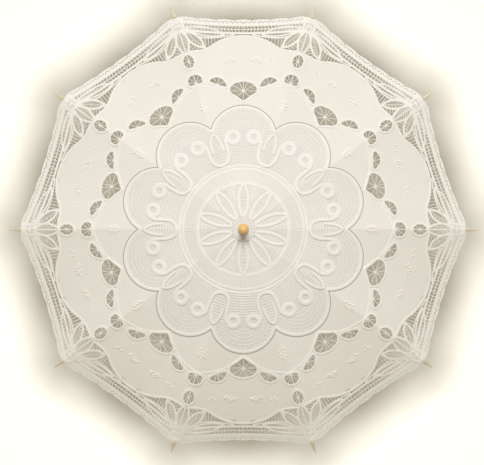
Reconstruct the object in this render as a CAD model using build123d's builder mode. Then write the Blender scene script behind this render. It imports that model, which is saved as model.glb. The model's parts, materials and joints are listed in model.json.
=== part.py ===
from build123d import *
import os
from math import acos, asin, atan2, cos, degrees, hypot, radians, sin

# A lace parasol, open, standing on its axis. +Z runs up the shaft to the ferrule, and the
# origin is the middle of the hand grip. Lengths are in millimetres, angles in degrees.
# Ten ribs hinge on a wire in the crown notch and ten stretchers hinge on a wire in the
# runner. A stretcher is as long as the distance from crown pivot to stretcher joint, and both
# wires have one radius, so the runner moves straight along the shaft as the ribs fold.

# Driving dimensions
RIBS = 10
RIB_SPAN = 394.0  # axis to the end of a rib's wire, seen from above
CANOPY_DROP = 131.0  # crown pivots down to the ends of the ribs
RIB_BOW = 24.0  # rise of a rib's arc above its chord
RIB_RADIUS = 1.1
SHAFT_RADIUS = 6.0
PIVOT_RADIUS = SHAFT_RADIUS + 5.5  # axis to both wire rings
STRETCHER_REACH = 202.0  # crown pivot to the stretcher joint's lug, along the chord
LUG_DROP = 4.0  # rib's centreline down to the stretcher joint
STRETCHER_RADIUS = 1.0
EYE_RADIUS = 2.3
EYE_WIDTH = 1.9
EYE_CLEARANCE = 0.25
WIRE_RADIUS = 0.6
LUG_RADIUS = 2.2
LUG_WIDTH = 2.0
FORK_LENGTH = 10.0
FORK_WALL = 0.8
RIVET_RADIUS = 0.75
RIVET_HEAD_RADIUS = 1.4
RIVET_HEAD = 0.5
SIDE_CLEARANCE = 0.3
TIP_LENGTH = 28.0
TIP_SOCKET = 8.0
TIP_RADIUS = 4.5
TIP_POINT_RADIUS = 0.7
TIP_FOLDED_RADIUS = 20.0  # axis to the points of the tips when the parasol is shut
CLOTH_THICKNESS = 0.8
CLOTH_GAP = 1.0  # rib's wire up to the cloth
CLOTH_HOLE = 10.0  # axis to the inner edge of the cloth
PETAL_GAP = 0.4
ROSETTE_RADIUS = 21.0
ROSETTE_THICKNESS = 1.0
SPIGOT_RADIUS = 4.0
SPIGOT_LENGTH = 24.0
SHAFT_SEAT = 60.0  # shaft's length inside the handle
FIT = 0.05
NOTCH_RADIUS = PIVOT_RADIUS + 2.5
NOTCH_HEIGHT = 8.0
HINGE_SLOT = 2.8
SLOT_DEPTH_RADIUS = PIVOT_RADIUS - 3.0  # axis to the floor of a hinge slot
RUNNER_CLEARANCE = 0.35
RUNNER_WALL = 2.05
RUNNER_SLEEVE = 40.0
RUNNER_LIP = 1.2
RUNNER_LIP_HEIGHT = 3.0
WINDOW_WIDTH = 3.2
WINDOW_INSET = 6.0  # head or sleeve end to the window's ends
GRIP_RADIUS = 11.0
GRIP_LENGTH = 110.0
NECK_LENGTH = 30.0
BEAD_HEIGHT = 7.0
BEAD_PROUD = 1.5
COVE_RADIUS = 8.6
COLLAR_HEIGHT = 6.0
BUTT_HEIGHT = 4.0
PARK_GAP = 8.0  # handle's top to the runner when the parasol is shut
FERRULE_RADIUS = 9.0
FERRULE_FOOT = 5.0
FERRULE_WAIST_RADIUS = 6.2
FERRULE_CREST_RADIUS = 8.0
FERRULE_CAP = 5.0
FERRULE_LENGTH = 40.0
CATCH_WIDTH = 1.8
CATCH_BAR = 2.6
CATCH_ARM = 24.0  # pivot to the near end of the nose
CATCH_NOSE = 7.0
CATCH_PROUD = 3.0  # nose past the shaft's surface
CATCH_PRESS = 7.5  # degrees the catch turns inwards
CATCH_AZIMUTH = 18.0
CATCH_PIN_RADIUS = 0.8

# Shape of a rib, in its own upright plane
STEP = 360 / RIBS
rib_chord = hypot(RIB_SPAN - PIVOT_RADIUS, CANOPY_DROP)
bow_radius = (rib_chord**2 / 4 + RIB_BOW**2) / (2 * RIB_BOW)
half_turn = asin(rib_chord / (2 * bow_radius))
chord_fall = atan2(CANOPY_DROP, RIB_SPAN - PIVOT_RADIUS)
start_fall = chord_fall - half_turn
end_fall = chord_fall + half_turn


def along_rib(chord):
    """The rib's centreline at this distance from the crown pivot, from that pivot, and its fall."""
    turn = asin(chord / (2 * bow_radius))
    fall = start_fall + turn
    return chord * cos(fall), -chord * sin(fall), start_fall + 2 * turn


lug_out, lug_down, lug_fall = along_rib(STRETCHER_REACH)
joint_out = lug_out - LUG_DROP * sin(lug_fall)
joint_down = lug_down - LUG_DROP * cos(lug_fall)
stretcher_length = hypot(joint_out, joint_down)
open_angle = atan2(-joint_down, joint_out)

# How far the ribs fold, from the tips' points: they lie beside the shaft when it is shut
point_out = RIB_SPAN - PIVOT_RADIUS + (TIP_LENGTH - TIP_SOCKET) * cos(end_fall)
point_down = CANOPY_DROP + (TIP_LENGTH - TIP_SOCKET) * sin(end_fall)
fold = acos((TIP_FOLDED_RADIUS - PIVOT_RADIUS) / hypot(point_out, point_down)) - atan2(
    point_down, point_out
)

# Heights, from the middle of the grip
handle_top = GRIP_LENGTH / 2 + NECK_LENGTH
head_to_end = NOTCH_HEIGHT / 2 + RUNNER_SLEEVE
runner_shut = handle_top + PARK_GAP + head_to_end
crown = runner_shut + 2 * stretcher_length * sin(open_angle + fold)
runner_open = crown - 2 * stretcher_length * sin(open_angle)
joint_radius, joint_height = PIVOT_RADIUS + joint_out, crown + joint_down
base_radius = RIB_SPAN - TIP_SOCKET * cos(end_fall)
base_height = crown - CANOPY_DROP + TIP_SOCKET * sin(end_fall)
notch_top = crown + NOTCH_HEIGHT / 2
cloth_inner_height = notch_top + CLOTH_GAP
cloth_lift = (RIB_RADIUS + CLOTH_GAP) / cos(end_fall)
rosette_base = cloth_inner_height + CLOTH_THICKNESS + SIDE_CLEARANCE
rosette_top = rosette_base + ROSETTE_THICKNESS
window_top = runner_open - NOTCH_HEIGHT / 2 - WINDOW_INSET
window_length = RUNNER_SLEEVE - 2 * WINDOW_INSET
window_end_shut = runner_shut - head_to_end + WINDOW_INSET


def side_plane(azimuth, out=0.0, height=0.0, aside=0.0):
    """An upright plane through the axis: its x runs outwards at this azimuth, its y upwards."""
    a = radians(azimuth)
    return Plane(
        origin=(out * cos(a) + aside * sin(a), out * sin(a) - aside * cos(a), height),
        x_dir=(cos(a), sin(a), 0),
        z_dir=(sin(a), -cos(a), 0),
    )


def cap_middle(radius, height):
    """Halfway along a spherical cap's outline, from the middle of its base."""
    ball = (radius**2 + height**2) / (2 * height)
    half_turn_of_cap = asin(radius / ball) / 2
    return ball * sin(half_turn_of_cap), ball * cos(half_turn_of_cap) - ball + height


def save(piece, name):
    piece.part.label = name
    export_step(piece.part, f"parts/{name}.step")


os.makedirs("parts", exist_ok=True)


def make_rib(azimuth, name):
    """A drawn wire with a flattened eye at the crown and a bored lug for the stretcher."""
    middle_out, middle_down, _ = along_rib(rib_chord / 2)
    with BuildPart() as rib:
        with BuildLine(side_plane(azimuth, PIVOT_RADIUS, crown)) as bow:
            ThreePointArc(
                (0, 0), (middle_out, middle_down), (RIB_SPAN - PIVOT_RADIUS, -CANOPY_DROP)
            )
        with BuildSketch(Plane(origin=bow.line @ 0, z_dir=bow.line % 0)):
            Circle(RIB_RADIUS)
        sweep()
        with BuildSketch(side_plane(azimuth, PIVOT_RADIUS, crown)):
            Circle(EYE_RADIUS)
        extrude(amount=EYE_WIDTH / 2, both=True)
        with BuildSketch(side_plane(azimuth, PIVOT_RADIUS, crown)):
            with Locations(((lug_out + joint_out) / 2, (lug_down + joint_down) / 2)):
                SlotCenterToCenter(LUG_DROP, 2 * LUG_RADIUS, rotation=90 - degrees(lug_fall))
        extrude(amount=LUG_WIDTH / 2, both=True)
        with BuildSketch(side_plane(azimuth, PIVOT_RADIUS, crown)):
            Circle(WIRE_RADIUS + EYE_CLEARANCE)
            with Locations((joint_out, joint_down)):
                Circle(RIVET_RADIUS + EYE_CLEARANCE)
        extrude(amount=RIB_RADIUS + LUG_WIDTH, both=True, mode=Mode.SUBTRACT)
    save(rib, name)


def make_tip(azimuth, name):
    """A turned point, bored for the end of the rib."""
    foot = side_plane(azimuth, base_radius, base_height)
    axis = foot.x_dir * cos(end_fall) - foot.y_dir * sin(end_fall)
    with BuildPart() as tip:
        with BuildSketch(Plane(origin=foot.origin, x_dir=foot.z_dir, z_dir=axis)):
            Circle(TIP_RADIUS)
        with BuildSketch(
            Plane(origin=foot.origin + axis * TIP_LENGTH, x_dir=foot.z_dir, z_dir=axis)
        ):
            Circle(TIP_POINT_RADIUS)
        loft()
        with BuildSketch(Plane(origin=foot.origin, x_dir=foot.z_dir, z_dir=axis)):
            Circle(RIB_RADIUS + FIT)
        extrude(amount=TIP_SOCKET + FIT, mode=Mode.SUBTRACT)
    save(tip, name)


def make_stretcher(azimuth, name):
    """A straight wire, with an eye on the runner's ring and a fork over the rib's lug."""
    run = stretcher_length - FORK_LENGTH
    gap = LUG_WIDTH / 2 + SIDE_CLEARANCE
    level = side_plane(azimuth, PIVOT_RADIUS, runner_open)
    rise = level.x_dir * cos(open_angle) + level.y_dir * sin(open_angle)
    low = Plane(origin=level.origin, x_dir=rise, z_dir=level.z_dir)
    with BuildPart() as stretcher:
        with BuildSketch(Plane(origin=low.origin, x_dir=low.z_dir, z_dir=low.x_dir)):
            Circle(STRETCHER_RADIUS)
        extrude(amount=run)
        with BuildSketch(low):
            Circle(EYE_RADIUS)
        extrude(amount=EYE_WIDTH / 2, both=True)
        with BuildSketch(low):
            with Locations((run, 0)):
                Rectangle(2 * STRETCHER_RADIUS, 2 * LUG_RADIUS)
            with Locations((run + FORK_LENGTH / 2, 0)):
                SlotCenterToCenter(FORK_LENGTH, 2 * LUG_RADIUS)
        extrude(amount=gap + FORK_WALL, both=True)
        with BuildSketch(low):
            with Locations((run + STRETCHER_RADIUS + FORK_LENGTH, 0)):
                Rectangle(2 * FORK_LENGTH, 4 * LUG_RADIUS)
        extrude(amount=gap, both=True, mode=Mode.SUBTRACT)
        with BuildSketch(low):
            Circle(WIRE_RADIUS + EYE_CLEARANCE)
            with Locations((stretcher_length, 0)):
                Circle(RIVET_RADIUS)
        extrude(amount=2 * gap, both=True, mode=Mode.SUBTRACT)
    save(stretcher, name)


def make_rivet(azimuth, name):
    """The pin that joins fork and lug, headed at both ends."""
    half = LUG_WIDTH / 2 + SIDE_CLEARANCE + FORK_WALL
    with BuildPart() as rivet:
        with BuildSketch(side_plane(azimuth, joint_radius, joint_height)):
            Circle(RIVET_RADIUS)
        extrude(amount=half, both=True)
        for side in (-1, 1):
            with BuildSketch(side_plane(azimuth, joint_radius, joint_height, side * half)):
                Circle(RIVET_HEAD_RADIUS)
            extrude(amount=side * RIVET_HEAD)
    save(rivet, name)


def make_petal(azimuth, name):
    """The cloth from one gore's centreline over a rib to the next, stretched between the ribs."""
    gore = azimuth + STEP / 2
    middle_out, middle_down, _ = along_rib(STRETCHER_REACH)
    narrow = cos(radians(STEP / 2))
    inner = Vector(CLOTH_HOLE, cloth_inner_height)
    middle = Vector((PIVOT_RADIUS + middle_out) * narrow, crown + middle_down + cloth_lift)
    outer = Vector((base_radius - FIT) * narrow, base_height + cloth_lift)
    up = Vector(0, CLOTH_THICKNESS)
    with BuildPart() as petal:
        with BuildSketch(side_plane(gore, aside=PETAL_GAP / 2)):
            with BuildLine():
                ThreePointArc(inner, middle, outer)
                Line(outer, outer + up)
                ThreePointArc(outer + up, middle + up, inner + up)
                Line(inner + up, inner)
            make_face()
        extrude(amount=RIB_SPAN)
        split(bisect_by=side_plane(azimuth), keep=Keep.BOTTOM)
        mirror(about=side_plane(azimuth))
    save(petal, name)


def make_wire_ring(height, name):
    """The wire that every eye turns on."""
    with BuildPart() as ring:
        with BuildSketch(side_plane(0, height=height)):
            with Locations((PIVOT_RADIUS, 0)):
                Circle(WIRE_RADIUS)
        revolve(axis=Axis.Z)
    save(ring, name)


def hinge_cuts(height):
    """The slots and the wire's groove that both the crown notch and the runner's head have."""
    floor = PIVOT_RADIUS - WIRE_RADIUS - FIT
    with BuildPart() as cuts:
        with BuildSketch(side_plane(0, height=height)):
            with Locations(((floor + 2 * NOTCH_RADIUS) / 2, 0)):
                Rectangle(2 * NOTCH_RADIUS - floor, 2 * (WIRE_RADIUS + FIT))
        revolve(axis=Axis.Z)
        with BuildSketch(Plane.XY.offset(height - NOTCH_HEIGHT)):
            with PolarLocations(SLOT_DEPTH_RADIUS + NOTCH_RADIUS / 2, RIBS):
                Rectangle(NOTCH_RADIUS, HINGE_SLOT)
        extrude(amount=2 * NOTCH_HEIGHT)
    return cuts.part


for number in range(RIBS):
    place, mark = number * STEP, f"{number + 1:02d}"
    make_rib(place, f"rib_{mark}")
    make_tip(place, f"rib_tip_{mark}")
    make_stretcher(place, f"stretcher_{mark}")
    make_rivet(place, f"rivet_{mark}")
    make_petal(place, f"canopy_petal_{mark}")

make_wire_ring(crown, "crown_wire")
make_wire_ring(runner_open, "runner_wire")

crown_cuts = hinge_cuts(crown)
with BuildPart() as crown_notch:
    with BuildSketch(Plane.XY.offset(crown - NOTCH_HEIGHT / 2)):
        Circle(NOTCH_RADIUS)
        Circle(SHAFT_RADIUS + FIT, mode=Mode.SUBTRACT)
    extrude(amount=NOTCH_HEIGHT)
    add(crown_cuts, mode=Mode.SUBTRACT)
save(crown_notch, "crown_notch")

runner_bore = SHAFT_RADIUS + RUNNER_CLEARANCE
sleeve_radius = runner_bore + RUNNER_WALL
runner_cuts = hinge_cuts(runner_open)
with BuildPart() as runner:
    with BuildSketch(Plane.XY.offset(runner_open - NOTCH_HEIGHT / 2)):
        Circle(NOTCH_RADIUS)
    extrude(amount=NOTCH_HEIGHT)
    add(runner_cuts, mode=Mode.SUBTRACT)
    with BuildSketch(Plane.XY.offset(runner_open - head_to_end)):
        Circle(sleeve_radius)
    extrude(amount=head_to_end)
    with BuildSketch(Plane.XY.offset(runner_open - head_to_end)):
        Circle(sleeve_radius + RUNNER_LIP)
    extrude(amount=RUNNER_LIP_HEIGHT)
    with BuildSketch(Plane.XY.offset(runner_open - head_to_end)):
        Circle(runner_bore)
    extrude(amount=head_to_end + NOTCH_HEIGHT, mode=Mode.SUBTRACT)
    window_middle = window_top - window_length / 2
    window_plane = side_plane(CATCH_AZIMUTH)
    with BuildSketch(
        Plane(
            origin=window_plane.x_dir * (SHAFT_RADIUS - RUNNER_WALL) + Vector(0, 0, window_middle),
            x_dir=window_plane.z_dir,
            z_dir=window_plane.x_dir,
        )
    ):
        Rectangle(WINDOW_WIDTH, window_length)
    extrude(amount=4 * RUNNER_WALL, mode=Mode.SUBTRACT)
save(runner, "runner")


catch_pin_out = SHAFT_RADIUS - CATCH_BAR
top_pin = window_top - FIT - SIDE_CLEARANCE - CATCH_ARM - CATCH_NOSE
bottom_pin = window_end_shut + FIT + SIDE_CLEARANCE + CATCH_ARM + CATCH_NOSE
# each catch: name, its pin's height, and whether its nose points up or down from the pin
catches = (("top_catch", top_pin, 1), ("bottom_catch", bottom_pin, -1))

with BuildPart() as shaft:
    with BuildSketch(Plane.XY.offset(handle_top - SHAFT_SEAT)):
        Circle(SHAFT_RADIUS)
    extrude(amount=rosette_top - handle_top + SHAFT_SEAT)
    with BuildSketch(Plane.XY.offset(rosette_top)):
        Circle(SPIGOT_RADIUS)
    extrude(amount=SPIGOT_LENGTH)
    pocket_depth = CATCH_PROUD + 2 * CATCH_BAR
    pocket_length = CATCH_ARM + CATCH_NOSE + 2 * CATCH_BAR
    for _, pin_height, way in catches:
        with BuildSketch(
            side_plane(CATCH_AZIMUTH, SHAFT_RADIUS, pin_height + way * (CATCH_ARM + CATCH_NOSE) / 2)
        ):
            Rectangle(2 * pocket_depth, pocket_length)
        extrude(amount=CATCH_WIDTH / 2 + SIDE_CLEARANCE, both=True, mode=Mode.SUBTRACT)
        with BuildSketch(side_plane(CATCH_AZIMUTH, catch_pin_out, pin_height)):
            Circle(CATCH_PIN_RADIUS + FIT)
        extrude(amount=2 * SHAFT_RADIUS, both=True, mode=Mode.SUBTRACT)
save(shaft, "shaft")

# A catch is drawn from its pin: a bar up to a nose with a square end and a sloped back
for catch_name, pin_height, way in catches:
    upright = side_plane(CATCH_AZIMUTH, catch_pin_out, pin_height)
    bar = CATCH_BAR / 2
    nose_out = SHAFT_RADIUS + CATCH_PROUD - catch_pin_out
    nose_top = CATCH_ARM + CATCH_NOSE
    with BuildPart() as catch:
        with BuildSketch(upright):
            with BuildLine():
                Polyline(
                    (-bar, -bar),
                    (bar, -bar),
                    (bar, CATCH_ARM - CATCH_NOSE),
                    (SHAFT_RADIUS - catch_pin_out - FIT, CATCH_ARM),
                    (nose_out, nose_top - CATCH_NOSE / 3),
                    (nose_out, nose_top),
                    (-bar, nose_top),
                    close=True,
                )
            make_face()
        extrude(amount=CATCH_WIDTH / 2, both=True)
        with BuildSketch(upright):
            Circle(CATCH_PIN_RADIUS)
        extrude(amount=SHAFT_RADIUS - CATCH_BAR, both=True)
        if way < 0:
            mirror(about=Plane.XY.offset(pin_height), mode=Mode.REPLACE)
    save(catch, catch_name)

with BuildPart() as crown_rosette:
    with BuildSketch(Plane.XY.offset(rosette_base)):
        Circle(ROSETTE_RADIUS)
        Circle(SHAFT_RADIUS + FIT, mode=Mode.SUBTRACT)
    extrude(amount=ROSETTE_THICKNESS)
save(crown_rosette, "crown_rosette")

crest = FERRULE_LENGTH - FERRULE_CAP
cap_out, cap_up = cap_middle(FERRULE_CREST_RADIUS, FERRULE_CAP)
with BuildPart() as ferrule:
    with BuildSketch(side_plane(0, height=rosette_top)):
        with BuildLine():
            Polyline((0, 0), (FERRULE_RADIUS, 0), (FERRULE_RADIUS, FERRULE_FOOT))
            ThreePointArc(
                (FERRULE_RADIUS, FERRULE_FOOT),
                (FERRULE_WAIST_RADIUS, (FERRULE_FOOT + crest) / 2),
                (FERRULE_CREST_RADIUS, crest),
            )
            ThreePointArc(
                (FERRULE_CREST_RADIUS, crest), (cap_out, crest + cap_up), (0, FERRULE_LENGTH)
            )
            Line((0, FERRULE_LENGTH), (0, 0))
        make_face()
    revolve(axis=Axis.Z)
    with BuildSketch(Plane.XY.offset(rosette_top)):
        Circle(SPIGOT_RADIUS + FIT)
    extrude(amount=SPIGOT_LENGTH + FIT, mode=Mode.SUBTRACT)
save(ferrule, "ferrule")

butt_out, butt_up = cap_middle(GRIP_RADIUS, BUTT_HEIGHT)
grip_end = GRIP_LENGTH / 2
cove_base, cove_top = grip_end + BEAD_HEIGHT, handle_top - COLLAR_HEIGHT
with BuildPart() as handle:
    with BuildSketch(side_plane(0)):
        with BuildLine():
            ThreePointArc(
                (0, -grip_end - BUTT_HEIGHT),
                (butt_out, -grip_end - butt_up),
                (GRIP_RADIUS, -grip_end),
            )
            Line((GRIP_RADIUS, -grip_end), (GRIP_RADIUS, grip_end))
            ThreePointArc(
                (GRIP_RADIUS, grip_end),
                (GRIP_RADIUS + BEAD_PROUD, grip_end + BEAD_HEIGHT / 2),
                (GRIP_RADIUS, cove_base),
            )
            ThreePointArc(
                (GRIP_RADIUS, cove_base),
                (COVE_RADIUS, (cove_base + cove_top) / 2),
                (GRIP_RADIUS, cove_top),
            )
            Polyline(
                (GRIP_RADIUS, cove_top),
                (GRIP_RADIUS, handle_top),
                (0, handle_top),
                (0, -grip_end - BUTT_HEIGHT),
            )
        make_face()
    revolve(axis=Axis.Z)
    with BuildSketch(Plane.XY.offset(handle_top - SHAFT_SEAT - FIT)):
        Circle(SHAFT_RADIUS + FIT)
    extrude(amount=SHAFT_SEAT + 2 * FIT, mode=Mode.SUBTRACT)
save(handle, "handle")

print("crown pivot", round(PIVOT_RADIUS, 4), round(crown, 4))
print("stretcher joint", round(joint_radius, 4), round(joint_height, 4))
print("runner pivot, open and shut", round(runner_open, 4), round(runner_shut, 4))
print("fold, degrees", round(degrees(fold), 4))
print("catch pins", round(catch_pin_out, 4), round(top_pin, 4), round(bottom_pin, 4))
print("overall", round(rosette_top + FERRULE_LENGTH + GRIP_LENGTH / 2 + BUTT_HEIGHT, 2))
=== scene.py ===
import json
from math import atan2, cos, degrees, hypot, pi, radians, sin, sqrt, tan

import bmesh
import bpy
from bpy.props import FloatProperty, FloatVectorProperty, PointerProperty
from mathutils import Matrix, Vector


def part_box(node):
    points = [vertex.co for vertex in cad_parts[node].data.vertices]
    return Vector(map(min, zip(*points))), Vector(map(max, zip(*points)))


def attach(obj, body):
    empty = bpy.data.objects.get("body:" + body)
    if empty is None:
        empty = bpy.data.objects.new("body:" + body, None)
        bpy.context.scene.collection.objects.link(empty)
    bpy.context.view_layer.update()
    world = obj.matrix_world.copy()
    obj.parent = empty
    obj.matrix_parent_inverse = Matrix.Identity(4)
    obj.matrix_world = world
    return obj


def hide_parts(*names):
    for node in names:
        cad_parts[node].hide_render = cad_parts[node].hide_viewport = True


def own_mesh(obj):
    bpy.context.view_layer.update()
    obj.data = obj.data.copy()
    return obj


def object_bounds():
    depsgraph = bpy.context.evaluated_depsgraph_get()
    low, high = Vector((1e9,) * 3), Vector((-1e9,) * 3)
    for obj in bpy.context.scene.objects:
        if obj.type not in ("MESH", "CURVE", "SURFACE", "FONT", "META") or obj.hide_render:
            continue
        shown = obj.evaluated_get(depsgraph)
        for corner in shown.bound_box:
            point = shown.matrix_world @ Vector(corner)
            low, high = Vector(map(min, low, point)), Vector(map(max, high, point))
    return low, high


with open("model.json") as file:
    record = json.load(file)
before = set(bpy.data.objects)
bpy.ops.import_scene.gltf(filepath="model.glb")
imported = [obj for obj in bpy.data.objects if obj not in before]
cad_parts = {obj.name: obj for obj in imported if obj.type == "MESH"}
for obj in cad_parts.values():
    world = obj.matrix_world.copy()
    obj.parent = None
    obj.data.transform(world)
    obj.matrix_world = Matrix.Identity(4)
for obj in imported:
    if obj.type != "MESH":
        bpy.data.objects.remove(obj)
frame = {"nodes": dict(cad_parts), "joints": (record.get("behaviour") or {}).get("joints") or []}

bl_info = {
    "name": "Lace Parasol",
    "version": (1, 0, 0),
    "blender": (4, 5, 0),
    "location": "View3D > Sidebar > Parasol",
    "description": "Makes a tape lace parasol, its fittings and a plain studio",
    "category": "Add Mesh",
}

# The frame: the canopy has as many gores as petals, and a petal spans half a gore each side of
# its rib. Plans are drawn in millimetres, seen from above, with a gore's middle along +X.
MM = 0.001
CAD_LOW, CAD_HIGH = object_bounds()
RIBS = sum(1 for name in frame["nodes"] if name.startswith("canopy_petal_"))
GORE = 2 * pi / RIBS
HALF = GORE / 2
PETAL_LOW, PETAL_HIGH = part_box("canopy_petal_01")
CAD_CLOTH = 0.8  # thickness of the frame's petals
HOLE_RADIUS = 10.0  # hole in the middle of the cloth, round the shaft
CLOTH_TOP = PETAL_HIGH.z / MM - CAD_CLOTH
HEM_REACH = PETAL_HIGH.x / MM * cos(HALF)
HEM_HEIGHT = PETAL_LOW.z / MM


def linear(code):
    """A colour given as sRGB hex, as the linear values that Blender's sockets take."""
    parts = [(code >> shift & 255) / 255 for shift in (16, 8, 0)]
    return [p / 12.92 if p <= 0.04045 else ((p + 0.055) / 1.055) ** 2.4 for p in parts]


def colour_choice(name, description, code):
    return FloatVectorProperty(
        name=name, description=description, subtype="COLOR", size=3, min=0, max=1,
        default=linear(code),
    )


def length_choice(name, description, millimetres):
    return FloatProperty(
        name=name, description=description, subtype="DISTANCE", unit="LENGTH", precision=5,
        default=millimetres * MM, min=0.05 * MM,
    )


class ParasolCloth(bpy.types.PropertyGroup):
    bow: length_choice("Bow", "Rise of a gore's middle above its chord", 21.926)
    sag: length_choice("Sag", "Dip of the hem between two ribs", 5.0)
    thickness: length_choice("Thickness", "Thickness of the cotton", 0.45)
    tape: length_choice("Tape", "Width of the lace tape", 4.2)
    thread: length_choice("Thread", "Width of a plaited lace bar", 1.6)
    cotton: colour_choice("Cotton", "Bleached cotton lawn", 0xF2EEE5)
    braid: colour_choice("Braid", "Woven lace tape", 0xF7F4EC)
    bars: colour_choice("Bars", "Plaited cotton thread", 0xF6F2E9)
    dark_cord: colour_choice("Dark cord", "Cord round the middle's lobes", 0xB4AFA4)


class ParasolFinishes(bpy.types.PropertyGroup):
    beech: colour_choice("Beech", "Varnished shaft and handle", 0xC99A63)
    ferrule: colour_choice("Ferrule", "Honey coloured ferrule", 0xFFCA7E)
    tips: colour_choice("Tips", "Pale waxed rib tips", 0xE6DABF)
    enamel: colour_choice("Enamel", "Painted ribs and stretchers", 0xE9E6DF)
    steel: colour_choice("Steel", "Bare steel wires and rivets", 0xB9B9B7)
    brass: colour_choice("Brass", "Spring catches", 0xC9A650)
    plastic: colour_choice("Fittings", "Moulded notch and runner", 0xE8E3D7)


# Plans


def gore(u, v):
    """A plan point v out along a gore's middle and u across it."""
    return Vector((v, u, 0))


def rib(s, r):
    """A plan point r out along the rib and s from it towards the gore's middle."""
    return Vector((r * cos(HALF) + s * sin(HALF), r * sin(HALF) - s * cos(HALF), 0))


def polar(radius, degrees_round, middle=(0, 0)):
    """A plan point on a circle round a gore point, its angle measured from the gore's middle."""
    a = radians(degrees_round)
    return gore(middle[0] + radius * sin(a), middle[1] + radius * cos(a))


def arc(radius, start, end, count, middle=(0, 0)):
    return [polar(radius, start + (end - start) * i / (count - 1), middle) for i in range(count)]


def raised(points, height):
    return [Vector((p.x, p.y, height)) for p in points]


def mirrored(points):
    """The points of half an outline and their reflections in the gore's middle, in order."""
    return points + [Vector((p.x, -p.y, 0)) for p in reversed(points) if p.y > 1e-6]


def leaf(start, end, half_width, count=4):
    """A leaf's outline: pointed at both ends and widest in the middle."""
    along = end - start
    across = Vector((-along.y, along.x, 0)).normalized()
    steps = [i / count for i in range(1, count)]
    sides = [
        [start + along * t + across * (way * half_width * sin(pi * t) ** 0.7) for t in steps]
        for way in (1, -1)
    ]
    return [start, *sides[0], end, *reversed(sides[1])]


class Drawing:
    """A plan drawn with splines, all of one kind: filled shapes, tapes or threads."""

    def __init__(self, filled=False):
        self.curve = bpy.data.curves.new("drawing", "CURVE")
        self.curve.dimensions = "2D" if filled else "3D"
        self.curve.resolution_u = 5
        if filled:
            self.curve.fill_mode = "BOTH"
        else:
            self.curve.twist_mode = "Z_UP"
            self.curve.use_fill_caps = True

    def line(self, points, size=1.0, closed=False, smooth=True, corners=()):
        spline = self.curve.splines.new("BEZIER")
        spline.bezier_points.add(len(points) - 1)
        for i, (knot, point) in enumerate(zip(spline.bezier_points, points)):
            kind = "AUTO" if smooth and i not in corners else "VECTOR"
            knot.co = point
            knot.radius = size
            knot.handle_left_type = knot.handle_right_type = kind
        spline.use_cyclic_u = closed
        spline.resolution_u = 5 if smooth else 1

    def mesh(self, section=None):
        """The drawing as a bmesh, in plan millimetres. A section gives tapes their outline."""
        if section is not None:
            self.curve.bevel_mode = "OBJECT"
            self.curve.bevel_object = section
        drawn = bpy.data.objects.new("drawing", self.curve)
        bpy.context.scene.collection.objects.link(drawn)
        graph = bpy.context.evaluated_depsgraph_get()
        made = bpy.data.meshes.new_from_object(drawn.evaluated_get(graph))
        bpy.data.objects.remove(drawn)
        plan = bmesh.new()
        plan.from_mesh(made)
        bpy.data.meshes.remove(made)
        return plan


def section_of(width, height, sides):
    """A flat oval outline, for a tape or a thread."""
    outline = bpy.data.curves.new("section", "CURVE")
    outline.dimensions = "2D"
    spline = outline.splines.new("POLY")
    spline.points.add(sides - 1)
    for i, point in enumerate(spline.points):
        a = 2 * pi * (i + 0.5) / sides
        x, y = cos(a), sin(a)
        point.co = (width / 2 * abs(x) ** 0.6 * (1 if x > 0 else -1), height / 2 * y, 0, 1)
    spline.use_cyclic_u = True
    section = bpy.data.objects.new("section", outline)
    bpy.context.scene.collection.objects.link(section)
    return section


# From a plan to the canopy's curve


def trim_to_half(plan, closed):
    """Cuts a plan at the gore's middle and at the rib, and closes the cut ends of a solid."""
    for normal in (Vector((0, -1, 0)), Vector((-sin(HALF), cos(HALF), 0))):
        geometry = plan.verts[:] + plan.edges[:] + plan.faces[:]
        bmesh.ops.bisect_plane(
            plan, geom=geometry, dist=1e-4, plane_co=(0, 0, 0), plane_no=normal, clear_outer=True
        )
        if closed:
            rim = [e for e in plan.edges if e.is_boundary]
            bmesh.ops.holes_fill(plan, edges=rim, sides=0)


def score(plan, spacing, sectors):
    """Cuts a flat plan across and along, so that it can follow the curve."""
    reach = max(v.co.x for v in plan.verts)
    lines = [((i * spacing, 0, 0), (1, 0, 0)) for i in range(1, int(reach / spacing) + 1)]
    for i in range(1, sectors):
        a = HALF * i / sectors
        lines.append(((0, 0, 0), (-sin(a), cos(a), 0)))
    for point, normal in lines:
        geometry = plan.verts[:] + plan.edges[:] + plan.faces[:]
        bmesh.ops.bisect_plane(plan, geom=geometry, dist=1e-3, plane_co=point, plane_no=normal)


def drape(plan, cloth):
    """Lays a plan on the stretched canopy: an arc along the gore, with a dip between the ribs."""
    run, fall = HEM_REACH - HOLE_RADIUS, CLOTH_TOP - HEM_HEIGHT
    bow, sag = cloth.bow / MM, cloth.sag / MM
    chord = hypot(run, fall)
    radius = (chord**2 / 4 + bow**2) / (2 * bow)
    back = radius - bow
    centre_v = (HOLE_RADIUS + HEM_REACH) / 2 - back * fall / chord
    centre_z = (CLOTH_TOP + HEM_HEIGHT) / 2 - back * run / chord
    for vert in plan.verts:
        v, u, height = vert.co
        across = u / max(v * tan(HALF), 1)
        dip = sag * (v / HEM_REACH) ** 2 * max(1 - across**2, 0)
        z = centre_z + sqrt(radius**2 - (v - centre_v) ** 2) - dip + height
        vert.co = Vector((v, u, z)) * MM


def finished_mesh(plan, name, material, angle=40):
    mesh = bpy.data.meshes.new(name)
    plan.to_mesh(mesh)
    plan.free()
    mesh.shade_smooth()
    mesh.set_sharp_from_angle(angle=radians(angle))
    mesh.materials.append(material)
    return mesh


def new_piece(name, mesh):
    piece = bpy.data.objects.new(name, mesh)
    bpy.context.scene.collection.objects.link(piece)
    return piece


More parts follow.
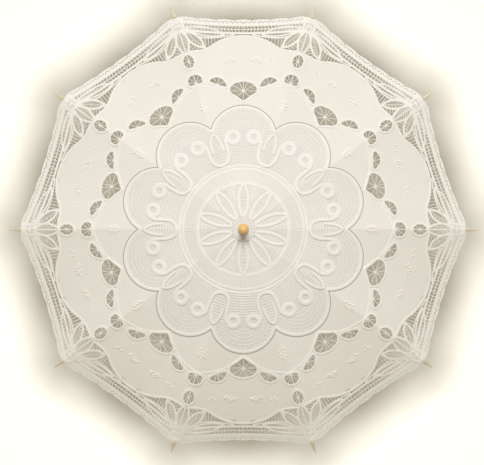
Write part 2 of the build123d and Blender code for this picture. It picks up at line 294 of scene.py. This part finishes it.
def lay_round(name, mesh, place=lambda piece, number, side: None):
    """Copies half a gore to both sides of every rib. Each rides its rib."""
    pieces = []
    joints = {joint["child"]: joint for joint in frame["joints"]}
    for number in range(RIBS):
        joint = joints[f"rib_unit_{number + 1:02d}"]
        azimuth = number * GORE
        for side, letter in ((1, "a"), (-1, "b")):
            turn = Matrix.Rotation(azimuth + side * HALF, 4, "Z")
            plan = bmesh.new()
            plan.from_mesh(mesh)
            if side > 0:
                bmesh.ops.scale(plan, vec=(1, -1, 1), verts=plan.verts)
                bmesh.ops.reverse_faces(plan, faces=plan.faces)
            bmesh.ops.transform(plan, matrix=turn, verts=plan.verts)
            copy = mesh.copy()
            plan.to_mesh(copy)
            plan.free()
            piece = new_piece(f"{name}_{number + 1:02d}_{letter}", copy)
            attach(piece, joint["child"])
            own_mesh(piece)
            place(piece, number + 1, letter)
            pieces.append(piece)
    bpy.data.meshes.remove(mesh)
    return pieces


# What the lace is made of. Each shape is drawn once, for half a gore.

CAP = dict(middle=(0, 244.3))
LOBE = dict(middle=(0, 155.3))
TAPE_HEIGHT = 1.1
CORD_WIDTH = 1.3
CORD_HEIGHT = 1.1
TRIM_THICKNESS = 0.8
HEM_BOW = 5.5  # how far the hem stands out at HEM_BOW_AT from a gore's middle
HEM_BOW_AT = 103
HEM_BOW_END = 104  # the bow grows no further, and the pin holes stop
CUT_SPACING = 8.0  # between the cuts that let a flat sheet follow the curve
CUT_SECTORS = 6  # of half a gore


def hem(v, u):
    """The hem bows outwards to the rib tips."""
    return gore(u, v + HEM_BOW * (min(abs(u), HEM_BOW_END) / HEM_BOW_AT) ** 2)


def cap_edge():
    """The edge of the cotton, from beyond the gore's middle to the rib and a little past it."""
    return [
        *arc(92.5, -20, 39.5, 9, **CAP),
        gore(71.5, 310.6),
        gore(84, 308.8),
        gore(94.2, 307.1),
        rib(0, 319.5),
        rib(-4.5, 320.4),
        rib(-16, 320.5),
    ]


def petal_edge():
    return [
        gore(-14, 226),
        gore(0, 217),
        gore(12, 226),
        gore(25.1, 235.2),
        gore(39, 241),
        gore(53.4, 244.7),
        gore(67, 246),
        gore(79.8, 245.4),
        rib(-14, 257.5),
    ]


def openings():
    """The worked openings: outline, where their spokes meet, and the corners of the outline."""
    fan = mirrored([gore(0, 218.2), gore(12, 227), gore(24.5, 237.5), gore(20.5, 249),
                    gore(8, 255), gore(0, 256)])
    tilt = Vector((9.5, 28.3, 0)).normalized()
    square = Vector((tilt.y, -tilt.x, 0))
    middle = gore(42.4, 253.3)
    lens = [middle + tilt * a + square * b for a, b in
            ((-16.5, -4.2), (-5, -7), (6, -7), (16.5, -3.6), (12, 5.6), (2, 9.4), (-10, 5.8))]
    triangle = [rib(s, r) for s, r in
                ((0, 281), (9.5, 277.8), (14, 269.5), (11.5, 261.5), (0, 259.6),
                 (-11.5, 261.5), (-14, 269.5), (-9.5, 277.8))]
    eyelet = [rib(10.8 * sin(i * pi / 4), 304.8 + 13.6 * cos(i * pi / 4)) for i in range(8)]
    return [
        (fan, gore(0, 237.7), (0,)),
        (lens, middle - square * 5.5, ()),
        (triangle, rib(0, 262.5), ()),
        (eyelet, rib(0, 304.8), ()),
    ]


def draw_cloth():
    """The cotton, with the worked openings cut out."""
    cloth = Drawing(filled=True)
    edge = cap_edge()
    outline = [gore(-32, -30), *edge, rib(-30, 318), rib(-30, -30)]
    cloth.line(outline, closed=True, corners=(0, 1, len(edge), len(edge) + 1, len(edge) + 2))
    cloth.line(arc(HOLE_RADIUS, 0, 315, 8), closed=True)
    for outline, _, corners in openings():
        cloth.line(outline, closed=True, corners=corners)
    return cloth


def draw_trim():
    """The scalloped braid below the hem, with its clusters of pin holes."""
    trim = Drawing(filled=True)
    pitch = 32.6  # between scallops
    inner = [hem(358.2, u) for u in range(-10, 110, 8)]
    outer = []
    for i in range(-5, 54):
        u = i * 2.2
        scallop = abs(cos(pi * u / pitch))
        outer.append(hem(365.4 + 2.2 * scallop**0.6, u))
    corner = [rib(4, 386.6), rib(-8, 386.6), rib(-8, 377), rib(4, 377)]
    trim.line(inner[::-1] + outer + corner, closed=True, smooth=False)
    for i in range(-1, 8):
        for across, out in ((-5.5, 361.9), (-1.9, 363.6), (1.9, 361.6), (5.5, 363.2)):
            u = (i * 0.5) * pitch + across
            if u < HEM_BOW_END:
                centre = hem(out, u)
                trim.line([centre + Vector((1.4 * cos(a * pi / 3), 1.4 * sin(a * pi / 3), 0))
                           for a in range(6)], closed=True, smooth=False)
    return trim


def draw_tapes():
    """Every run of woven lace tape."""
    tapes = Drawing()
    low, mid, high = 0.6, 1.2, 1.8
    for radius, size in ((78, 1.35), (102.4, 1.15), (108.3, 1.1)):
        tapes.line(raised(arc(radius, -8, 26, 8), low), size)
    tapes.line(raised(mirrored([gore(0, 22), gore(4.6, 30), gore(7.4, 44), gore(7.6, 56),
                                gore(5.2, 67), gore(0, 75)]), mid), 1.2, closed=True)
    tapes.line(raised(arc(54.1, -30, 79, 14, **LOBE), low), 1.3)
    tapes.line(raised([rib(32 + 9.2 * cos(i * pi / 4), 154.4 + 9.2 * sin(i * pi / 4))
                       for i in range(8)], mid), 1.95, closed=True)
    loop = [rib(-6.5, 114.8), rib(0, 113.5), rib(6.5, 114.8), rib(12.5, 120), rib(15.8, 130),
            rib(16.6, 143), rib(17.8, 153), rib(22.5, 160.5)]
    tapes.line(raised(loop, high), 1.35)
    tapes.line(raised([rib(9.5, 137), rib(8.5, 152), rib(4.5, 164), rib(0, 170)], high), 1.1)
    tapes.line(raised(petal_edge(), low), 0.85, corners=(1,))
    tapes.line(raised(cap_edge(), low), 0.95)
    for outline, _, corners in openings():
        tapes.line(raised(outline, mid), 0.95, closed=True, corners=corners)
    for v, size in ((342, 1.0), (356.8, 1.0)):
        tapes.line(raised([hem(v, u) for u in range(-15, 112, 9)], low), size)
    # corner lace
    tapes.line(raised([rib(9.5, 358), rib(9.3, 370), rib(8.6, 379), rib(6, 384.5),
                       rib(0, 386), rib(-6, 384.5)], mid), 1.0)
    tapes.line(raised([rib(10, 360.5), rib(0, 361.5), rib(-10, 360.5)], low), 1.1)
    tapes.line(raised([rib(5, 372), rib(0, 373), rib(-5, 372)], low), 1.5)
    tapes.line(raised([rib(3.5, 361), rib(9, 351), rib(10.4, 340), rib(7.5, 329), rib(4, 322)],
                      mid), 0.85)
    tapes.line(raised([rib(0, 361), rib(0, 321)], low), 0.55)
    tapes.line(raised(leaf(rib(9, 359.5), rib(34, 320.5), 7.6), high), 0.85, closed=True,
               corners=(0, 4))
    tapes.line(raised(leaf(rib(12, 366), rib(74, 332.5), 7.6), mid), 0.65, closed=True,
               corners=(0, 4))
    tapes.line(raised([rib(26, 345), rib(45, 336), rib(66, 331), rib(90, 327.5)], low), 0.6)
    return tapes


def draw_threads():
    """Plaited bars, webs and stitching."""
    threads = Drawing()
    low, high = 0.5, 1.0

    def bar(start, end, size=0.6, height=low):
        threads.line(raised([start, end], height), size, smooth=False)

    for i in range(-1, 9):
        angle = (i + 0.5) * degrees(HALF) / 7
        bar(polar(79, angle), polar(102, angle), 1.5, 0.7)
    # inside and between the loops of the daisy
    for i in range(7):
        bar(gore(-1, 30 + 6 * i), gore(7, 32.5 + 6 * i), 0.9, 0.8)
    for r, reach in ((50, 4), (56, 6), (62, 8), (68, 11), (73, 13)):
        bar(rib(reach, r + 1.5), rib(-reach, r + 1.5), 0.9, 0.8)
    bar(rib(0, 46), rib(0, 77), 1.2, high)
    for s in (4.5, 9):
        bar(rib(s * 0.3, 52), rib(s, 77), 1.0, high)
    # net between the round and the scrolls, and bars across the scrolls and the lobes
    for i in range(9):
        v = 112.5 + 4.4 * i
        bar(gore(-2, v + 1.2), gore(26, v - 1.2), 0.85, 0.7)
    for i in range(6):
        bar(gore(4.5 * i, 110), gore(5.2 * i, 150), 0.6)
    for radius in (17, 23.5, 30, 36.5, 43, 49):
        threads.line(raised(arc(radius, -20, 78, 7, **LOBE), low), 0.75)
    for i in range(14):
        angle = -4 + 6.6 * i
        bar(polar(20, angle, (0, 155.3)), polar(53, angle + 3, (0, 155.3)), 0.65)
    for i in range(9):
        r = 119 + 5 * i
        bar(rib(16, r + 2), rib(-16, r + 2), 0.9, 0.7)
    for outline, hub, _ in openings():
        for point in outline:
            bar(hub, point, 0.62, 0.5)
        ring = [hub + (point - hub).normalized() * 1.9 for point in outline]
        threads.line(raised(ring, 0.7), 0.9, closed=True)
    # hem ladder
    threads.line(raised([hem(349.2, u) for u in range(-15, 112, 9)], low), 1.1)
    for i in range(-2, 19):
        u = 6.0 * i
        bar(hem(343, u), hem(349.2, u + 3), 0.85)
        bar(hem(349.2, u + 3), hem(356, u), 0.85)
    # corner fillings
    for i in range(8):
        r = 357 - 4.4 * i
        bar(rib(0, r), rib(9.5, r - 6.5), 0.65)
        bar(rib(0, r), rib(-9.5, r - 6.5), 0.65)
    for start, end, width, count, size in ((rib(9, 359.5), rib(34, 320.5), 7.0, 17, 0.6),
                                           (rib(12, 366), rib(74, 332.5), 6.6, 26, 0.5)):
        along = end - start
        across = Vector((-along.y, along.x, 0)).normalized()
        zigzag = []
        for i in range(1, count):
            t = i / count
            way = 1 if i % 2 else -1
            zigzag.append(start + along * t + across * (way * width * sin(pi * t) ** 0.7))
        threads.line(raised(zigzag, low), size, smooth=False)
        bar(start, end, size)
    for i in range(11):
        s = 30 + 5.6 * i
        bar(rib(s, 317.5 + 0.75 * i), rib(s + 5, 345 - 1.55 * i), 0.75)
    for s, r in ((11, 337), (14, 332), (17, 328), (21, 324.5)):
        bar(rib(s - 5, r - 4), rib(s + 9, r + 3), 0.7)
    for r in (366.5, 379):
        bar(rib(9, r + 3), rib(-9, r - 1), 0.75)
        bar(rib(9, r - 1), rib(-9, r + 3), 0.75)
    # embroidered sprigs
    stem = [gore(10.7, 291), gore(17, 293.4), gore(25, 293), gore(34.5, 290)]
    threads.line(raised(stem, 0.9), 1.1)
    for u, v, du, dv in ((14, 292.3, 3.4, 4.2), (20, 293.4, 3.0, 4.6), (27, 292.4, -1.5, 4.6),
                         (17, 293, 3.4, -4.4), (24, 293, 3, -4.4), (31, 291, -2.4, -4)):
        bar(gore(u, v), gore(u + du, v + dv), 1.8, 0.9)
    for u, v in ((47, 293), (52.5, 290.6), (57, 293.6)):
        bar(gore(u, v), gore(u + 2, v + 0.7), 1.8, 0.9)
    threads.line(raised([rib(1.4, 209), rib(2.4, 221), rib(1.6, 234)], 0.9), 1.0)
    for r in (214, 220, 226):
        bar(rib(2, r), rib(6.5, r + 4.5), 1.5, 0.9)
    return threads


def draw_dark_cord():
    """A darker grey cord round the lobes of the middle."""
    dark_cord = Drawing()
    dark_cord.line(raised(arc(57.6, -28, 77, 14, **LOBE), 0.75))
    return dark_cord


# Materials


def node(tree, kind, links=(), **settings):
    """Adds a node, sets its properties and sockets by name, and links (socket, source) pairs."""
    made = tree.nodes.new(kind)
    for key, value in settings.items():
        name = key.replace("_", " ")
        socket = next((s for s in made.inputs if s.name.lower() == name and s.enabled), None)
        if hasattr(made, key):
            setattr(made, key, value)
        elif socket is not None:
            socket.default_value = value
        else:
            raise ValueError(f"{kind} has no {key}")
    for socket, source in links:
        tree.links.new(source, made.inputs[socket])
    return made


def start_material(name, **shader):
    material = bpy.data.materials.new(name)
    material.use_nodes = True
    tree = material.node_tree
    tree.nodes.clear()
    surface = node(tree, "ShaderNodeBsdfPrincipled", **shader)
    node(tree, "ShaderNodeOutputMaterial", [("Surface", surface.outputs[0])])
    return material, tree, surface


def shades(tree, factor, colour, spread):
    """A ramp between a darker and a lighter shade of one colour."""
    ramp = node(tree, "ShaderNodeValToRGB", [("Fac", factor)])
    for stop, share in zip(ramp.color_ramp.elements, (1 - spread, 1 + spread)):
        stop.color = (*[min(c * share, 1) for c in colour], 1)
    return ramp.outputs[0]


def bands(pitch):
    """The scale that sets a wave texture's bands this many millimetres apart."""
    return pi / 10 / (pitch * MM)


def cotton_lawn(colour):
    """Bleached cotton lawn: matt, with a soft sheen at grazing angles, faint thread lines and
    painted shade in the middle.
    """
    material, tree, surface = start_material(
        "cotton_lawn", roughness=0.85, sheen_weight=0.25, sheen_roughness=0.5, ior=1.5
    )
    place = node(tree, "ShaderNodeUVMap", uv_map="plan")
    # threads 1.8 mm apart: real lawn is finer, and these are as coarse as they need to be to show
    weave = []
    for direction in ("X", "Y"):
        weave.append(node(tree, "ShaderNodeTexWave", [("Vector", place.outputs[0])],
                          bands_direction=direction, scale=bands(1.8),
                          distortion=0.6, detail=1.0))
    crossed = node(tree, "ShaderNodeMath", [(0, weave[0].outputs["Fac"]),
                                            (1, weave[1].outputs["Fac"])], operation="MULTIPLY")
    # soft creases about 30 mm apart
    creases = node(tree, "ShaderNodeTexNoise", [("Vector", place.outputs[0])],
                   scale=33, detail=3.0, roughness=0.55)
    # the middle is backed with net, bars 4.4 mm apart; between the bars it carries painted shade,
    # greyer than the lawn
    lobe = node(tree, "ShaderNodeVectorMath", [(0, place.outputs[0])], operation="DISTANCE")
    lobe.inputs[1].default_value = gore(*LOBE["middle"]) * MM
    middle = node(tree, "ShaderNodeVectorMath", [(0, place.outputs[0])], operation="LENGTH")
    inside = []
    for reach, limit in ((lobe.outputs["Value"], 55.5 * MM), (middle.outputs["Value"], 160 * MM)):
        test = node(tree, "ShaderNodeMath", [(0, reach)], operation="LESS_THAN")
        test.inputs[1].default_value = limit
        inside.append(test.outputs[0])
    shaded_middle = node(tree, "ShaderNodeMath", [(0, inside[0]), (1, inside[1])], operation="MAXIMUM")
    net = node(tree, "ShaderNodeTexWave", [("Vector", place.outputs[0])], bands_direction="X",
               scale=bands(4.4), distortion=1.5, detail=2.0, detail_scale=2.0)
    shade_between_bars = node(tree, "ShaderNodeMapRange", [("Value", net.outputs["Fac"])],
                    to_min=0.8, to_max=0.25)
    painted_shade = node(tree, "ShaderNodeMath", [(0, shaded_middle.outputs[0]), (1, shade_between_bars.outputs[0])],
                  operation="MULTIPLY")
    plain = shades(tree, creases.outputs["Fac"], colour, 0.03)
    lawn_and_painted_shade = node(tree, "ShaderNodeMixRGB", [("Fac", painted_shade.outputs[0]), ("Color1", plain)])
    # painted shade: the middle's lawn is drawn greyer and 17% darker
    lawn_and_painted_shade.inputs["Color2"].default_value = (*[c * 0.83 for c in linear(0xF0EEEA)], 1)
    tree.links.new(lawn_and_painted_shade.outputs[0], surface.inputs["Base Color"])
    soft = node(tree, "ShaderNodeBump", [("Height", creases.outputs["Fac"])],
                strength=0.35, distance=1.5 * MM)
    fine = node(tree, "ShaderNodeBump", [("Height", crossed.outputs[0]),
                                         ("Normal", soft.outputs[0])],
                strength=0.35, distance=0.15 * MM)
    tree.links.new(fine.outputs[0], surface.inputs["Normal"])
    return material


def woven_cotton(name, colour, pitch, depth):
    """Woven or plaited cotton: matt, thicker than lawn, with the plait's small ridges."""
    material, tree, surface = start_material(
        name, roughness=0.9, sheen_weight=0.3, sheen_roughness=0.5, ior=1.5
    )
    place = node(tree, "ShaderNodeTexCoord")
    plait = node(tree, "ShaderNodeTexVoronoi", [("Vector", place.outputs["Object"])],
                 scale=1 / (pitch * MM))
    tree.links.new(shades(tree, plait.outputs["Distance"], colour, 0.06),
                   surface.inputs["Base Color"])
    ridges = node(tree, "ShaderNodeBump", [("Height", plait.outputs["Distance"])],
                  strength=0.5, distance=depth * MM, invert=True)
    tree.links.new(ridges.outputs[0], surface.inputs["Normal"])
    return material


def turned_wood(name, colour, grain, coat, spread=0.16):
    """Turned wood under varnish or wax: long upright grain streaks, soft highlights."""
    material, tree, surface = start_material(
        name, roughness=0.42, ior=1.5, coat_weight=coat, coat_roughness=0.12
    )
    place = node(tree, "ShaderNodeTexCoord")
    stretch = node(tree, "ShaderNodeMapping", [("Vector", place.outputs["Object"])],
                   scale=(1, 1, 0.08))
    # grain streaks, with pores along them
    streaks = node(tree, "ShaderNodeTexNoise", [("Vector", stretch.outputs[0])],
                 scale=1 / (grain * MM), detail=6.0, roughness=0.6, distortion=0.4)
    tree.links.new(shades(tree, streaks.outputs["Fac"], colour, spread),
                   surface.inputs["Base Color"])
    pores = node(tree, "ShaderNodeBump", [("Height", streaks.outputs["Fac"])],
                 strength=0.12, distance=0.1 * MM)
    tree.links.new(pores.outputs[0], surface.inputs["Normal"])
    return material


def smooth_finish(name, colour, roughness, metallic, grit, spread):
    """Enamel, bare metal or moulded plastic: fine marks and a little uneven gloss."""
    material, tree, surface = start_material(name, metallic=metallic)
    place = node(tree, "ShaderNodeTexCoord")
    marks = node(tree, "ShaderNodeTexNoise", [("Vector", place.outputs["Object"])],
                 scale=1 / (grit * MM), detail=4.0)
    gloss = node(tree, "ShaderNodeMapRange", [("Value", marks.outputs["Fac"])],
                 to_min=roughness - 0.08, to_max=roughness + 0.1)
    tree.links.new(shades(tree, marks.outputs["Fac"], colour, spread), surface.inputs["Base Color"])
    tree.links.new(gloss.outputs[0], surface.inputs["Roughness"])
    bump = node(tree, "ShaderNodeBump", [("Height", marks.outputs["Fac"])],
                strength=0.15, distance=0.05 * MM)
    tree.links.new(bump.outputs[0], surface.inputs["Normal"])
    return material


def plain_floor(colour):
    """Matt pale card, one colour all over."""
    material, _, surface = start_material("pale_card", roughness=0.9)
    surface.inputs["Base Color"].default_value = (*colour, 1)
    return material


# Operators


class PARASOL_OT_canopy(bpy.types.Operator):
    """Makes the cotton of every gore, with its worked openings"""

    bl_idname = "parasol.canopy"
    bl_label = "Canopy"

    def execute(self, context):
        choices = context.scene.parasol_cloth
        plan = draw_cloth().mesh()
        bmesh.ops.remove_doubles(plan, verts=plan.verts, dist=0.01)
        trim_to_half(plan, closed=False)
        score(plan, CUT_SPACING, CUT_SECTORS)
        bmesh.ops.recalc_face_normals(plan, faces=plan.faces)
        if sum(f.normal.z for f in plan.faces) < 0:
            bmesh.ops.reverse_faces(plan, faces=plan.faces)
        plot = plan.loops.layers.uv.new("plan")
        for face in plan.faces:
            for loop in face.loops:
                loop[plot].uv = loop.vert.co.xy * MM
        # cut size of the half gore: length and area follow the curve it is stretched over
        cut = plan.copy()
        drape(cut, choices)
        width = max(v.co.y for v in cut.verts)
        along = sorted((v.co for v in cut.verts if v.co.y < 1e-6), key=lambda co: co.x)
        length = sum((b - a).length for a, b in zip(along, along[1:]))
        area = sum(f.calc_area() for f in cut.faces)
        cut.free()
        extruded = bmesh.ops.extrude_face_region(plan, geom=plan.faces[:])
        top = [g for g in extruded["geom"] if isinstance(g, bmesh.types.BMVert)]
        bmesh.ops.translate(plan, vec=(0, 0, choices.thickness / MM), verts=top)
        bmesh.ops.recalc_face_normals(plan, faces=plan.faces)
        drape(plan, choices)
        mesh = finished_mesh(plan, "cloth", cotton_lawn(choices.cotton), 60)

        def place(piece, number, letter):
            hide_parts(f"canopy_petal_{number:02d}")

        context.scene["parasol_cut"] = (width, length, area)
        lay_round("cloth", mesh, place)
        return {"FINISHED"}


class PARASOL_OT_lace(bpy.types.Operator):
    """Makes the tapes, bars, webs and trim of the lace"""

    bl_idname = "parasol.lace"
    bl_label = "Lace"

    def execute(self, context):
        choices = context.scene.parasol_cloth
        braid = woven_cotton("woven_cotton_tape", choices.braid, 1.3, 0.25)
        plaited = woven_cotton("plaited_cotton_thread", choices.bars, 0.8, 0.15)
        tape = section_of(choices.tape / MM, TAPE_HEIGHT, 8)
        thread = section_of(choices.thread / MM, choices.thread / MM, 4)
        cord = section_of(CORD_WIDTH, CORD_HEIGHT, 6)
        dark_cord = woven_cotton("dark_grey_cord", choices.dark_cord, 1.0, 0.2)
        for name, drawing, section, material in (
            ("tapes", draw_tapes(), tape, braid),
            ("threads", draw_threads(), thread, plaited),
            ("dark_cord", draw_dark_cord(), cord, dark_cord),
        ):
            plan = drawing.mesh(section)
            bmesh.ops.remove_doubles(plan, verts=plan.verts, dist=0.001)
            trim_to_half(plan, closed=True)
            bmesh.ops.recalc_face_normals(plan, faces=plan.faces)
            drape(plan, choices)
            lay_round(name, finished_mesh(plan, name, material))
        for section in (tape, thread, cord):
            bpy.data.objects.remove(section)
        plan = draw_trim().mesh()
        bmesh.ops.remove_doubles(plan, verts=plan.verts, dist=0.01)
        trim_to_half(plan, closed=False)
        score(plan, CUT_SPACING, CUT_SECTORS)
        extruded = bmesh.ops.extrude_face_region(plan, geom=plan.faces[:])
        top = [g for g in extruded["geom"] if isinstance(g, bmesh.types.BMVert)]
        bmesh.ops.translate(plan, vec=(0, 0, TRIM_THICKNESS), verts=top)
        bmesh.ops.recalc_face_normals(plan, faces=plan.faces)
        drape(plan, choices)
        lay_round("trim", finished_mesh(plan, "trim", braid))
        return {"FINISHED"}


# The rosette, in millimetres
ROSETTE_HOLE_RADIUS = 6.3
ROSETTE_LIFT = 0.2  # bottom of the frame's rosette up to the cloth at the hole
ROSETTE_DROOP = 0.6  # of its rim
GATHERS = 20
GATHER_HEIGHT = 0.35


class PARASOL_OT_rosette(bpy.types.Operator):
    """Makes the gathered cotton disc under the ferrule"""

    bl_idname = "parasol.rosette"
    bl_label = "Rosette"

    def execute(self, context):
        choices = context.scene.parasol_cloth
        low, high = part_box("crown_rosette")
        inner, outer = ROSETTE_HOLE_RADIUS * MM, high.x
        plan = bmesh.new()
        ring = bmesh.ops.create_circle(plan, radius=inner, segments=120)["verts"]
        edges = list({e for v in ring for e in v.link_edges})
        rows = 6
        radius = inner
        for _ in range(rows):
            made = bmesh.ops.extrude_edge_only(plan, edges=edges)["geom"]
            verts = [g for g in made if isinstance(g, bmesh.types.BMVert)]
            edges = [g for g in made if isinstance(g, bmesh.types.BMEdge)]
            bigger = radius + (outer - inner) / rows
            bmesh.ops.scale(plan, vec=(bigger / radius, bigger / radius, 1), verts=verts)
            radius = bigger
        for vert in plan.verts:
            reach = hypot(vert.co.x, vert.co.y)
            share = (reach - inner) / (outer - inner)
            gather = sin(GATHERS * atan2(vert.co.y, vert.co.x)) * GATHER_HEIGHT * MM * share
            vert.co.z = low.z + ROSETTE_LIFT * MM + gather - ROSETTE_DROOP * MM * share**3
        area = sum(f.calc_area() for f in plan.faces)
        plot = plan.loops.layers.uv.new("plan")
        for face in plan.faces:
            for loop in face.loops:
                loop[plot].uv = loop.vert.co.xy
        extruded = bmesh.ops.extrude_face_region(plan, geom=plan.faces[:])
        top = [g for g in extruded["geom"] if isinstance(g, bmesh.types.BMVert)]
        bmesh.ops.translate(plan, vec=(0, 0, choices.thickness), verts=top)
        bmesh.ops.recalc_face_normals(plan, faces=plan.faces)
        lawn = bpy.data.materials["cotton_lawn"]
        rosette = new_piece("rosette", finished_mesh(plan, "rosette", lawn))
        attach(rosette, "stick")
        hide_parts("crown_rosette")
        return {"FINISHED"}


class PARASOL_OT_finishes(bpy.types.Operator):
    """Gives the stick, ribs and fittings their finishes"""

    bl_idname = "parasol.finishes"
    bl_label = "Finishes"

    def execute(self, context):
        colours = context.scene.parasol_finishes
        # grain streaks are 2 to 3 mm apart, and the marks on enamel, metal and plastic 0.5 to 1.2 mm
        finishes = {
            # warm light brown, with darker and paler grain streaks under a clear gloss
            "shaft handle": turned_wood("varnished_beech", colours.beech, 3.0, 0.6),
            # lighter and yellower, with fainter streaks and the same gloss
            "ferrule": turned_wood("honey_varnished_wood", colours.ferrule, 2.5, 0.6, 0.1),
            # pale wood with faint streaks and a soft sheen
            "rib_tip": turned_wood("waxed_pale_wood", colours.tips, 2.0, 0.15, 0.1),
            # off-white enamel with a fairly sharp, slightly uneven shine
            "rib stretcher": smooth_finish("enamelled_steel", colours.enamel, 0.3, 0, 1.2, 0.03),
            # bare grey metal with narrow bright highlights
            "rivet crown_wire runner_wire": smooth_finish(
                "bright_steel", colours.steel, 0.3, 1, 0.5, 0.06),
            # yellow metal, faintly mottled
            "top_catch bottom_catch": smooth_finish(
                "rolled_brass", colours.brass, 0.32, 1, 0.6, 0.08),
            # ivory plastic with a soft, broad highlight
            "crown_notch runner": smooth_finish(
                "moulded_acetal", colours.plastic, 0.45, 0, 0.8, 0.02),
        }
        for name, part in frame["nodes"].items():
            kind = name.rstrip("0123456789").rstrip("_")
            for names, material in finishes.items():
                if kind in names.split():
                    part.data.materials.clear()
                    part.data.materials.append(material)
        return {"FINISHED"}


# The stage, in metres
FLOOR_RADIUS = 20.0
FLOOR_COLOUR = 0xDEDBD3
CAMERA_DISTANCE = 4.0
VIEW_WIDTH = 0.8446  # at the height of the hem
KEY_LEAN = radians(27)
OVERHEAD_HEIGHT = 2.5


class PARASOL_OT_stage(bpy.types.Operator):
    """Sets out a plain floor, soft lights and the camera"""

    bl_idname = "parasol.stage"
    bl_label = "Stage"

    def execute(self, context):
        scene = context.scene
        floor_plan = bmesh.new()
        bmesh.ops.create_circle(floor_plan, cap_ends=True, radius=FLOOR_RADIUS, segments=64)
        mesh = bpy.data.meshes.new("floor")
        floor_plan.to_mesh(mesh)
        floor_plan.free()
        mesh.transform(Matrix.Translation((0, 0, CAD_LOW.z - 0.001)))
        mesh.materials.append(plain_floor(linear(FLOOR_COLOUR)))
        floor = new_piece("floor", mesh)

        world = bpy.data.worlds.new("studio")
        world.use_nodes = True
        world.node_tree.nodes["Background"].inputs[0].default_value = (1.0, 0.91, 0.7, 1)
        world.node_tree.nodes["Background"].inputs[1].default_value = 0.34
        scene.world = world
        # the key lights the parasol and is kept off the floor; a lamp overhead lights the floor,
        # where the parasol's own shadow falls
        key = self.lamp(context, "key", "SUN", 2.2, floor, "EXCLUDE")
        key.data.angle = radians(24)
        key.data.color = (0.985, 0.995, 1.06)
        key.rotation_euler = (-KEY_LEAN, 0, 0)
        overhead = self.lamp(context, "overhead", "AREA", 88, floor, "INCLUDE")
        overhead.data.shape = "DISK"
        overhead.data.size = 0.4
        overhead.location = (0, 0, OVERHEAD_HEIGHT)
        overhead.visible_camera = False

        lens = bpy.data.cameras.new("camera")
        lens.lens = lens.sensor_width * CAMERA_DISTANCE / VIEW_WIDTH
        camera = bpy.data.objects.new("camera", lens)
        aim = Vector((-0.0023, -0.0047, HEM_HEIGHT * MM))
        tilt = radians(0.5)
        away = Vector((0, -sin(tilt), cos(tilt)))
        camera.location = aim + away * CAMERA_DISTANCE
        camera.rotation_euler = (tilt, 0, 0)
        lens.clip_end = 50
        scene.collection.objects.link(camera)
        scene.camera = camera
        scene.view_settings.view_transform = "Standard"
        return {"FINISHED"}

    def lamp(self, context, name, kind, energy, floor, link):
        """A lamp that lights all but the floor, or the floor alone."""
        light = bpy.data.lights.new(name, kind)
        light.energy = energy
        lamp = bpy.data.objects.new(name, light)
        context.scene.collection.objects.link(lamp)
        linked = bpy.data.collections.new(name)
        linked.objects.link(floor)
        linked.collection_objects[0].light_linking.link_state = link
        lamp.light_linking.receiver_collection = linked
        return lamp


class PARASOL_PT_panel(bpy.types.Panel):
    """Sizes, colours and the operators that make the parasol"""

    bl_idname = "PARASOL_PT_panel"
    bl_label = "Lace Parasol"
    bl_space_type = "VIEW_3D"
    bl_region_type = "UI"
    bl_category = "Parasol"

    def draw(self, context):
        for choices in (context.scene.parasol_cloth, context.scene.parasol_finishes):
            box = self.layout.box()
            for key in choices.bl_rna.properties.keys():
                if key not in ("rna_type", "name"):
                    box.prop(choices, key)
        for step in STEPS:
            self.layout.operator(step.bl_idname)


STEPS = (PARASOL_OT_canopy, PARASOL_OT_lace, PARASOL_OT_rosette, PARASOL_OT_finishes,
         PARASOL_OT_stage)
CLASSES = (ParasolCloth, ParasolFinishes, *STEPS, PARASOL_PT_panel)


def register():
    for made in CLASSES:
        bpy.utils.register_class(made)
    bpy.types.Scene.parasol_cloth = PointerProperty(type=ParasolCloth)
    bpy.types.Scene.parasol_finishes = PointerProperty(type=ParasolFinishes)


def unregister():
    del bpy.types.Scene.parasol_cloth
    del bpy.types.Scene.parasol_finishes
    for made in reversed(CLASSES):
        bpy.utils.unregister_class(made)


def main():
    register()
    bpy.ops.parasol.canopy()
    bpy.ops.parasol.lace()
    bpy.ops.parasol.rosette()
    bpy.ops.parasol.finishes()
    bpy.ops.parasol.stage()


if __name__ == "__main__":
    main()
